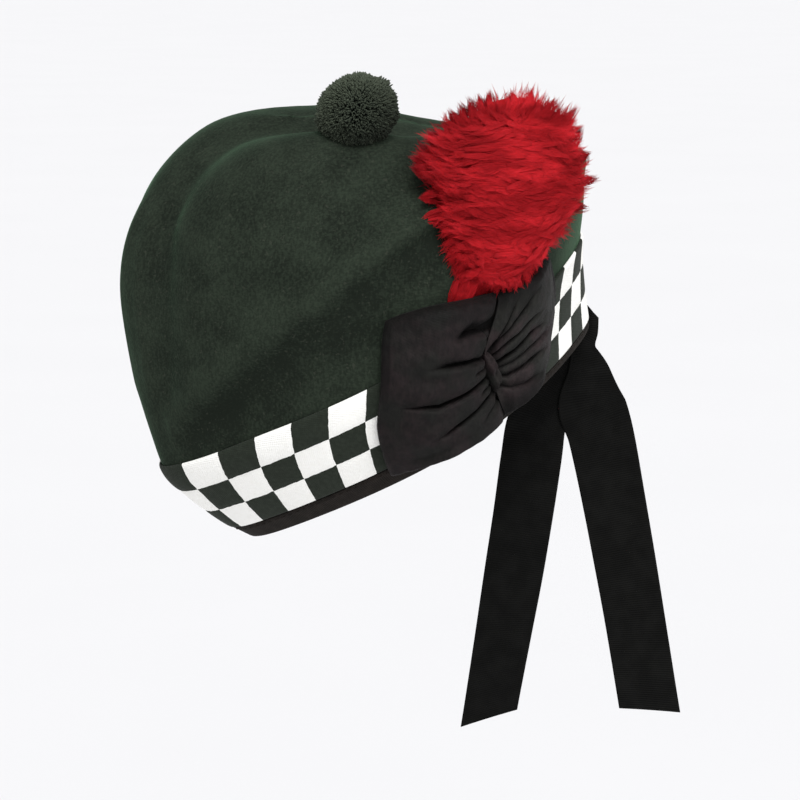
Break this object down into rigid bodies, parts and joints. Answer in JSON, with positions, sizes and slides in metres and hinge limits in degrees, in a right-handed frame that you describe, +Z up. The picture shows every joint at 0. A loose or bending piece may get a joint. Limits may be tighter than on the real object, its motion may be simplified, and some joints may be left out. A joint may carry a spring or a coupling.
{
  "type": "glengarry cap",
  "caption": "Boat-shaped wool felt cap with a creased top, diced band, bound rim, toorie, gathered silk cockade with a feather hackle, and ribbon tails at the back, worn on the head.",
  "frame": {"origin": "middle of the rim opening, where the cap sits on a head", "axes": "+Z up, the front of the cap faces -X and dips, the wearer's left side with the cockade faces -Y"},
  "size_m": [0.2867, 0.1972, 0.3412],
  "materials": {
    "felt": "matt milled wool felt, dark green",
    "dicing": "woven wool checks in off-white and dark green",
    "tape": "black ribbed binding tape",
    "wool": "clipped wool yarn, dark green",
    "feather": "dyed feather, red",
    "silk": "soft satin, warm black",
    "ribbon": "black grosgrain ribbon"
  },
  "bodies": {
    "root": {"crown": "felt", "diced_band": "dicing", "edge_binding": "tape", "toorie": "wool", "hackle": "feather", "cockade_knot": "silk", "cockade_front_loop": "silk", "cockade_back_loop": "silk", "ribbon_tail_back": "ribbon", "ribbon_tail_front": "ribbon"}
  },
  "joints": []
}
